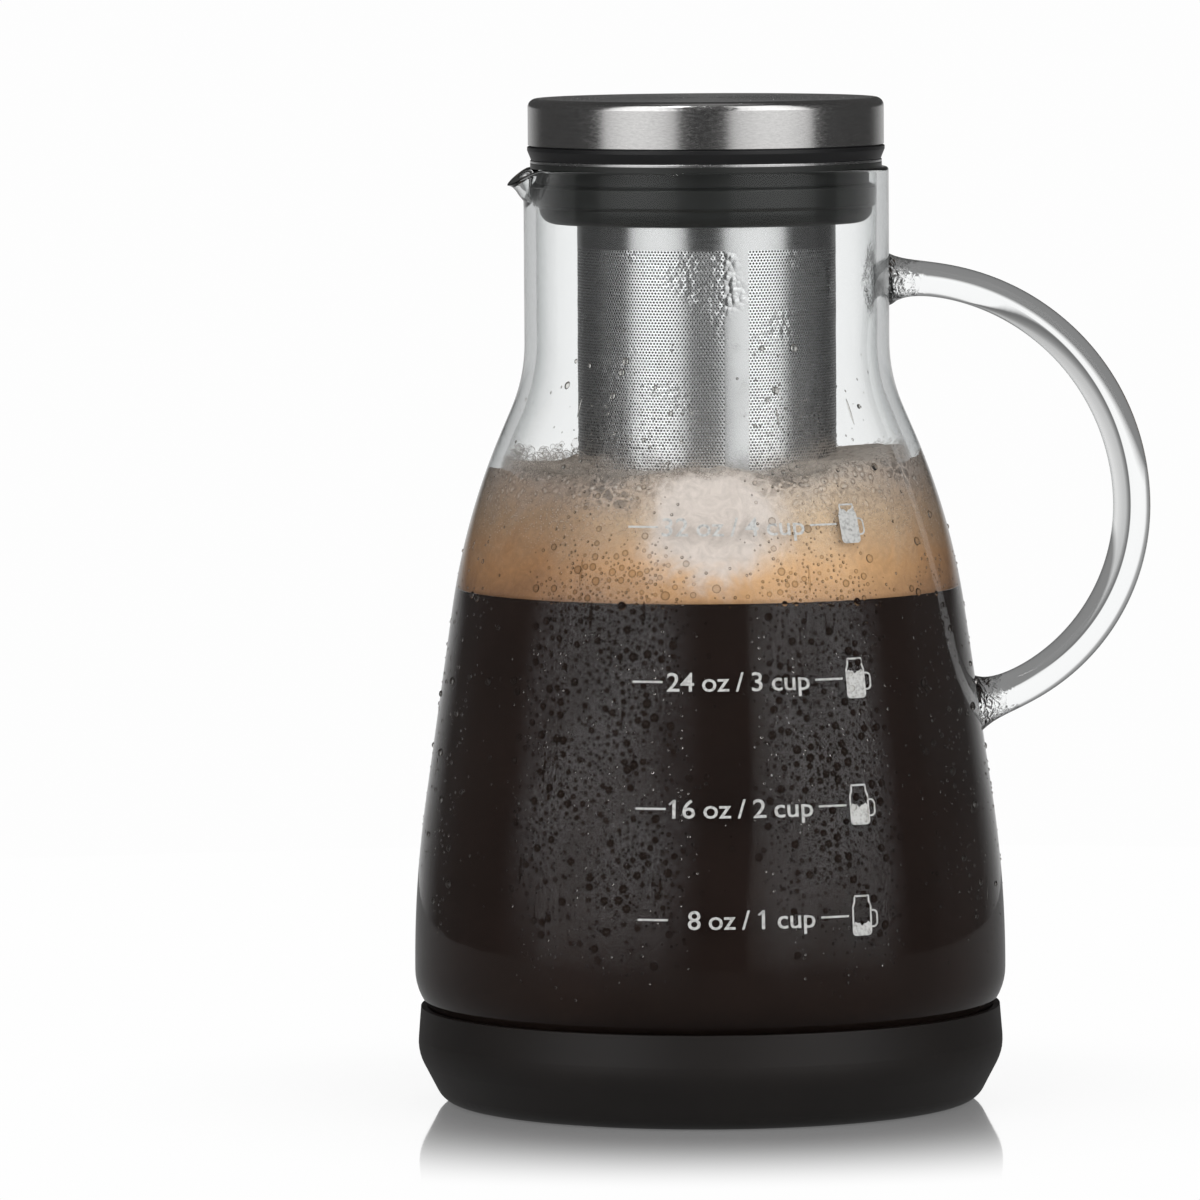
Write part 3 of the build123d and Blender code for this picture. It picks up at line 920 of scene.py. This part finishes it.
# --- Measuring scale ---
def ribbon(skin, points, width, closed=False):
    """Adds a flat strip of a width along points to a bmesh."""
    count = len(points)
    rows = []
    for i, point in enumerate(points):
        before = points[i - 1] if i or closed else point
        after = points[(i + 1) % count] if i < count - 1 or closed else point
        way = (after - before).normalized()
        side = Vector((-way.y, way.x)) * width / 2
        rows.append([skin.verts.new((*(point + side), 0)), skin.verts.new((*(point - side), 0))])
    for here, there in zip(rows, rows[1:] + rows[:1] if closed else rows[1:]):
        skin.faces.new((here[0], here[1], there[1], there[0]))


def mug(skin, left, fill):
    """A plain drinking jar with a handle, filled to a share of its height."""
    neck, shoulder = MUG_W * 0.1, MUG_H * 0.14
    low, right = -MUG_H / 2, left + MUG_W
    top = low + MUG_H
    jar = rounded([(left + neck, top), (left + neck, top - shoulder, 0.5),
                   (left, top - 2 * shoulder, 0.8), (left, low, 0.7), (right, low, 0.7),
                   (right, top - 2 * shoulder, 0.8), (right - neck, top - shoulder, 0.5),
                   (right - neck, top)], step=0.35)
    ribbon(skin, jar, LINE_W, closed=True)
    grip = rounded([(right, low + MUG_H * 0.62), (right + 1.5, low + MUG_H * 0.62, 0.9),
                    (right + 1.5, low + MUG_H * 0.2, 0.9), (right, low + MUG_H * 0.2)], step=0.3)
    ribbon(skin, grip, LINE_W)
    level = low + MUG_H * fill
    columns = 16
    rows = []
    for i in range(columns + 1):
        share = i / columns
        x = left + LINE_W / 2 + (MUG_W - LINE_W) * share
        foot = low + 0.4 * max(0.0, 1 - 5 * min(share, 1 - share))
        crest = level + 0.3 * sin(share * 9.4) + 0.16 * sin(share * 23)
        rows.append((skin.verts.new((x, foot, 0)), skin.verts.new((x, crest, 0))))
    for here, there in zip(rows, rows[1:]):
        skin.faces.new((here[0], there[0], there[1], here[1]))


def thickened(skin):
    """Gives the flat faces of a bmesh the depth of the ink."""
    grown = bmesh.ops.extrude_face_region(skin, geom=list(skin.faces))
    risen = [part for part in grown["geom"] if isinstance(part, bmesh.types.BMVert)]
    bmesh.ops.translate(skin, verts=risen, vec=(0, 0, INK_DEPTH))


def lettering(words, start):
    """A line of text as a mesh, from a start to the end of the row's words."""
    curve = bpy.data.curves.new("lettering", "FONT")
    curve.body = words
    curve.align_x = "RIGHT"
    curve.space_word = 0.8
    curve.resolution_u = 3
    curve.offset = 0.006
    curve.extrude = INK_DEPTH / 2
    made = plain(placed("lettering", curve), "lettering")
    tall = max(v.co.y for v in made.data.vertices)
    left = min(v.co.x for v in made.data.vertices)
    right = max(v.co.x for v in made.data.vertices)
    for spot in made.data.vertices:
        spot.co.x = start + (TEXT_END - start) * (spot.co.x - left) / (right - left)
        spot.co.y = spot.co.y * DIGIT_H / tall - DIGIT_H / 2
        spot.co.z = spot.co.z + INK_DEPTH / 2
    return made


def ones(words):
    """The upper left corner of each 1 in a line of text: the font draws it as a bare stroke."""
    skin = bmesh.new()
    skin.from_mesh(words.data)
    loose = set(skin.verts)
    corners = []
    while loose:
        edge = [loose.pop()]
        glyph = []
        while edge:
            spot = edge.pop()
            glyph.append(spot.co.copy())
            for line in spot.link_edges:
                other = line.other_vert(spot)
                if other in loose:
                    loose.remove(other)
                    edge.append(other)
        left, right = min(p.x for p in glyph), max(p.x for p in glyph)
        low, top = min(p.y for p in glyph), max(p.y for p in glyph)
        if right - left < 0.2 * DIGIT_H < 0.8 * DIGIT_H < top - low:
            corners.append(Vector(((left + right) / 2, top)))
    skin.free()
    return corners


def measuring_scale(outline, finish):
    """Printed marks at every 8 fl oz: a dash, the measure, a dash and a filling jar."""
    skin = bmesh.new()
    for ounces, level in SCALE_Z.items():
        row = bmesh.new()
        for start, end in (LEFT_DASH, RIGHT_DASH):
            dash = [Vector((start + (end - start) * i / 6, 0)) for i in range(7)]
            ribbon(row, dash, LINE_W * 1.15)
        mug(row, MUG_X, 0.1 + 0.19 * ounces / 8)
        words = lettering(f"{ounces} oz / {ounces // 8} cup", TEXT_START[ounces])
        for corner in ones(words):
            ribbon(row, [corner - Vector((0, 0.2)), corner - Vector((1.0, 0.95))], 0.42)
        thickened(row)
        row.from_mesh(words.data)
        bpy.data.objects.remove(words)
        for spot in row.verts:
            along, up, depth = spot.co
            slope = (radius_at(outline, level - 3) - radius_at(outline, level + 3)) / 6
            height = level + up / hypot(1, slope)
            radius = radius_at(outline, height) + INK_LIFT + depth
            spot.co = Vector(on_axis(radius, along / radius_at(outline, level), height)) * MM
        flat = bpy.data.meshes.new("row")
        row.to_mesh(flat)
        row.free()
        skin.from_mesh(flat)
    bmesh.ops.recalc_face_normals(skin, faces=skin.faces)
    mesh = bpy.data.meshes.new("measuring_scale")
    skin.to_mesh(mesh)
    skin.free()
    mesh.materials.append(finish)
    return placed("measuring_scale", mesh)


# --- Studio ---
WHITE = 0.985
ROOM_LIGHT = 0.4
UNDERSIDE = 0.24           # how bright a lens that looks down finds the floor
FLOOR_R = 550.0
SHADE_R = (62.0, 150.0)    # the floor turns from a mirror to white between these radii
CAMERA_AWAY = 2.2
CAMERA_HEIGHT = 0.2667
CAMERA_AZIMUTH = radians(-8.0)
CAMERA_PITCH = radians(4.22)
CAMERA_YAW = radians(0.586)
CAMERA_ROLL = radians(-0.35)
CAMERA_LENS = 318.4


def camera():
    """A long lens a little above the lid."""
    lens = bpy.data.cameras.new("camera")
    lens.lens, lens.sensor_width = CAMERA_LENS, 36.0
    lens.clip_start, lens.clip_end = 0.1, 50.0
    made = placed("camera", lens)
    made.location = Vector(on_axis(CAMERA_AWAY, CAMERA_AZIMUTH, CAMERA_HEIGHT))
    heading = Matrix.Rotation(CAMERA_AZIMUTH + CAMERA_YAW, 4, "Z")
    tilt = Matrix.Rotation(pi / 2 - CAMERA_PITCH, 4, "X")
    made.rotation_euler = (heading @ tilt @ Matrix.Rotation(CAMERA_ROLL, 4, "Z")).to_euler()
    bpy.context.scene.camera = made


def softbox(name, azimuth, away, low, high, width, watts):
    """A tall soft lamp that lights surfaces; the world draws its reflection."""
    lamp = bpy.data.lights.new(name, "AREA")
    lamp.shape, lamp.size, lamp.size_y = "RECTANGLE", width, high - low
    lamp.energy = watts
    made = placed(name, lamp)
    made.location = Vector(on_axis(away, radians(azimuth), (low + high) / 2))
    aim = Vector((0, 0, 0.1)) - made.location
    made.rotation_euler = aim.to_track_quat("-Z", "Y").to_euler()
    made.visible_camera = made.visible_glossy = made.visible_transmission = False


# Bright panels that glass and metal mirror: middle and width round the axis, lowest and
# highest elevation, all in degrees, and the brightness in the middle. Each comes up softly
# from its foot.
PANELS = ((-52.5, 53, -8.6, 58, 1.9), (36, 59, -8.6, 58, 1.9))
KEY_LAMP = (-34, 18, 47, 63, 20.0)      # small and high: the glint in drops and bubbles
BEHIND = 172               # straight behind the maker, seen from the camera, in degrees
WALL_BACK = (BEHIND, 170, -60, 60, 0.75)
PANEL_EDGE = radians(2.5)
PANEL_RISE = 11.6
PANEL_NARROWS = 3.4        # how much nearer its upright edges are in its upper part
PANEL_FALL = 0.72          # brightness at a panel's upright edges, as a share of its middle
WHOLE_HEIGHT = 0.63        # share of a panel that metal behind glass sees at any elevation
DARK_STUDIO = 0.07
BACK_WIDTH = (6, 56)       # the white backdrop fades between these angles from its middle
BACK_LOW = 0.6             # its brightness


def aside_of(add, azimuth, middle):
    """How far a direction is from one in degrees, either way round, in radians."""
    off = add("Math SUBTRACT", azimuth, radians(middle))
    return add("Math ABSOLUTE", add("Math WRAP", off, pi, -pi))


def panel(add, azimuth, up, size, behind_glass):
    """Brightness of one panel in a direction; behind_glass is 1 where it has no top or end."""
    middle, width, low, high, level = size
    aside = aside_of(add, azimuth, middle)
    narrower = add("MapRange", up, sin(radians(2)), sin(radians(11)), 0.0, radians(PANEL_NARROWS))
    away = add("Math", aside, narrower)
    half = radians(width) / 2
    glow = add("MapRange", away, half * 0.3, half, level, level * PANEL_FALL)
    across = add("MapRange SMOOTHSTEP", away, half - PANEL_EDGE, half + PANEL_EDGE, 1.0, 0.0)
    rise = add("MapRange", up, sin(radians(low)), sin(radians(low + PANEL_RISE)))
    fall = add("MapRange", up, sin(radians(high - 2)), sin(radians(high + 2)), 1.0, 0.0)
    tall = add("Math MULTIPLY", rise, fall)
    along = add("Math MAXIMUM", tall, add("Math MULTIPLY", behind_glass, WHOLE_HEIGHT))
    return add("Math MULTIPLY", add("Math MULTIPLY", across, along), glow)


def backdrop(add, azimuth, up, open_share):
    """Brightness of the white backdrop behind the maker in mirrors: a pale rim where a surface
    is seen edge on, as strong as open_share says."""
    away = aside_of(add, azimuth, BEHIND)
    across = add("MapRange SMOOTHSTEP", away, radians(BACK_WIDTH[0]), radians(BACK_WIDTH[1]), 1.0,
                 0.0)
    below = within(add, up, sin(radians(-35)), sin(radians(1.3)), 0.03)
    level = add("Math MULTIPLY", add("Math MULTIPLY", open_share, below), BACK_LOW)
    return add("Math MULTIPLY", across, level)


def mirrored_studio(add, azimuth, up, passed):
    """Brightness that a mirror sees: upright panels in a dark room, grey overhead. Metal behind
    glass sees them at their whole height. The inside of a glass wall or a drop sees a white
    back, and little of the panels."""
    behind_glass = add("Math GREATER_THAN", passed, 3.5)
    outer = add("Math LESS_THAN", passed, 0.5)
    in_wall = within(add, passed, 0.5, 3.5, 0.1)
    dimmed = add("Math MULTIPLY_ADD", in_wall, -0.85, 1.0)
    open_share = add("Math MULTIPLY_ADD", behind_glass, 0.5, outer)
    seen = [backdrop(add, azimuth, up, open_share), panel(add, azimuth, up, KEY_LAMP, 0.0)]
    seen.append(add("Math MULTIPLY", panel(add, azimuth, up, WALL_BACK, 0.0), in_wall))
    for size in PANELS:
        shown = panel(add, azimuth, up, size, behind_glass)
        seen.append(add("Math MULTIPLY", shown, dimmed))
    total = DARK_STUDIO
    for shown in seen:
        total = add("Math MAXIMUM", total, shown)
    high = add("MapRange", up, 0.92, 0.97)
    return add("Mix", {0: high, 2: total, 3: 0.3})


# What a glass rod shows of the studio in front of and behind the maker, by the angle from
# straight ahead in degrees: a white backdrop with a dark edge on its right.
ROD_VIEW = ((-90, "#f4f4f6"), (-40, "#e4e4e8"), (-14, "#c0c0c4"), (-9, "#8c8c8e"),
            (-5, "#6a6a6a"), (-3.5, "#fdfdfd"), (32, "#fdfdfd"), (42, "#a8a8a8"),
            (90, "#5a5a5a"))


def seen_through_rod(add, azimuth, up):
    """Brightness of the studio through the handle, which bends the view far round."""
    off = add("Math SUBTRACT", azimuth, radians(BEHIND))
    rise = add("Math MAXIMUM", up, 0.0)
    leaning = add("Math MULTIPLY_ADD", rise, 0.5, off)
    turned = add("Math WRAP", leaning, pi / 2, -pi / 2)
    share = add("MapRange", turned, -pi / 2, pi / 2)
    stops = [((angle + 90) / 180, code) for angle, code in ROD_VIEW]
    around = add("ValToRGB", share, stops=stops)
    below = add("MapRange", up, -0.2, -0.11, UNDERSIDE, WHITE)
    above = add("MapRange", up, 0.56, 0.7, WHITE, 0.3)
    total = add("Math MINIMUM", around, below)
    return add("Math MINIMUM", total, above)


def world():
    """White to the eye and through glass, a studio in mirrors, and a plain level elsewhere."""
    made = bpy.data.worlds.new("studio")
    made.use_nodes = True
    made.cycles.sampling_method = "NONE"
    bpy.context.scene.world = made
    made.node_tree.nodes.clear()
    add = partial(node, made.node_tree)
    way = add("SeparateXYZ", add("TexCoord").outputs["Generated"]).outputs
    up = way[2]
    azimuth = add("Math ARCTAN2", way[0], add("Math MULTIPLY", way[1], -1.0))
    path = add("LightPath").outputs
    passed = path["Transmission Depth"]
    above = add("MapRange", up, 0.35, 0.8, WHITE, 0.55)
    below = add("MapRange", up, -0.45, -0.15, UNDERSIDE, WHITE)
    through = add("Math MINIMUM", above, below)
    one_wall = within(add, passed, 0.5, 2.5, 0.1)
    in_mirror = add("Math GREATER_THAN", path["Glossy Depth"], 0.5)
    mirrored = mirrored_studio(add, azimuth, up, passed)
    open_air = add("Math LESS_THAN", passed, 0.5)
    filmed = add("Math GREATER_THAN", path["Transparent Depth"], 1.5)
    by_floor = add("Math MULTIPLY", open_air, filmed)
    mirrored = add("Mix", {0: by_floor, 2: mirrored, 3: WHITE})
    level = ROOM_LIGHT
    for share, seen in ((path["Is Transmission Ray"], through),
                        (one_wall, seen_through_rod(add, azimuth, up)),
                        (in_mirror, mirrored), (path["Is Diffuse Ray"], ROOM_LIGHT),
                        (path["Is Camera Ray"], WHITE)):
        level = add("Mix", {0: share, 2: level, 3: seen})
    add("OutputWorld", add("Background", level))


def gloss_acrylic(add):
    """Gloss white acrylic sheet: it mirrors the base and fades to plain white further out.
    Mirrors and lenses find it dim, as a table beyond the sheet would be."""
    radius = turned_place(add)[1]
    matt = add("BsdfDiffuse", "#f2f2f2")
    bright = add("Emission", "#fefefe")
    sheet = add("MixShader", 0.5, matt, bright)
    mirror = add("MixShader", 0.78, sheet, add("BsdfGlossy", "#ffffff", 0.05))
    out = add("MapRange SMOOTHSTEP", radius, SHADE_R[0] * MM, SHADE_R[1] * MM)
    seen = add("MixShader", out, mirror, bright)
    dim = add("Emission", "#ffffff", UNDERSIDE)
    path = add("LightPath").outputs
    eye = add("MixShader", path["Is Camera Ray"], matt, seen)
    lens = add("Math MAXIMUM", path["Is Transmission Ray"], path["Is Glossy Ray"])
    return add("MixShader", lens, eye, dim)


def clear_film(add):
    """A wholly clear film. A ray to the floor and back passes it twice, so the world knows what
    the floor mirrors, and shows it white."""
    return add("BsdfTransparent")


def floor():
    """A round sheet under the base, with a clear film over its glossy part."""
    sheet = material("gloss_white_acrylic", gloss_acrylic)
    film = material("clear_film", clear_film)
    for name, radius, depth, finish in (
            ("floor", FLOOR_R, -0.05, sheet), ("floor_film", SHADE_R[1] + 5, -0.03, film)):
        rings = [(radius * i / 12, depth) for i in range(13)]
        lathe(name, rings, finish, segments=64)


def studio():
    """Floor, lamps, world and camera."""
    floor()
    softbox("left_softbox", -53, 1.1, 0.0, 1.3, 1.17, 11.0)
    softbox("right_softbox", 39, 1.1, 0.0, 1.3, 1.43, 12.0)
    softbox("back_softbox", 166, 1.3, 0.0, 1.3, 1.6, 9.0)
    world()
    camera()
    bpy.context.scene.view_settings.view_transform = "Standard"
    bpy.context.scene.cycles.transparent_max_bounces = 32


# --- The whole ---
def finish_cad_nodes():
    """Gives the carried-over solids their materials."""
    base = material("moulded_silicone_black", moulded_silicone, "#0f0c0b", "#161210", 0.5, 0.06)
    seal = material("moulded_silicone_grey_black", moulded_silicone, "#1d1e1d", "#232423", 0.35,
                    0.0)
    spun = material("spun_stainless_steel", brushed_steel, "#c4c4c4", 0.22, 0.3)
    cap = material("brushed_stainless_steel", brushed_steel, "#cbcac9", 0.16, 0.32)
    sheet = material("photo_etched_stainless_sheet", etched_sheet)
    black = material("moulded_polypropylene_black", moulded_polypropylene)
    finishes = {"silicone_base": base, "filter_collar": seal, "filter_flange": spun,
                "filter_screen": sheet, "filter_bottom": spun, "lid_insert": black,
                "lid_gasket": seal, "lid_cap": cap}
    for name, finish in finishes.items():
        solid = frame["nodes"][name]
        solid.data.materials.clear()
        solid.data.materials.append(finish)


def build():
    """Every piece round the frame."""
    outline = carafe_outline()
    finish_cad_nodes()
    glass = carafe_glass(outline, material("blown_borosilicate_glass", blown_glass))
    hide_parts("glass_body", "glass_handle")
    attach(glass, "carafe")
    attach(coffee(outline, material("cold_brew_coffee", cold_brew)), "carafe")
    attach(foam(outline, material("coffee_foam", coffee_foam)), "carafe")
    tree = scatter_tree()
    condensation(outline, tree)
    bubbles(outline, tree)
    ink = material("fired_ceramic_ink", fired_ink)
    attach(measuring_scale(outline, ink), "carafe")
    studio()


build()
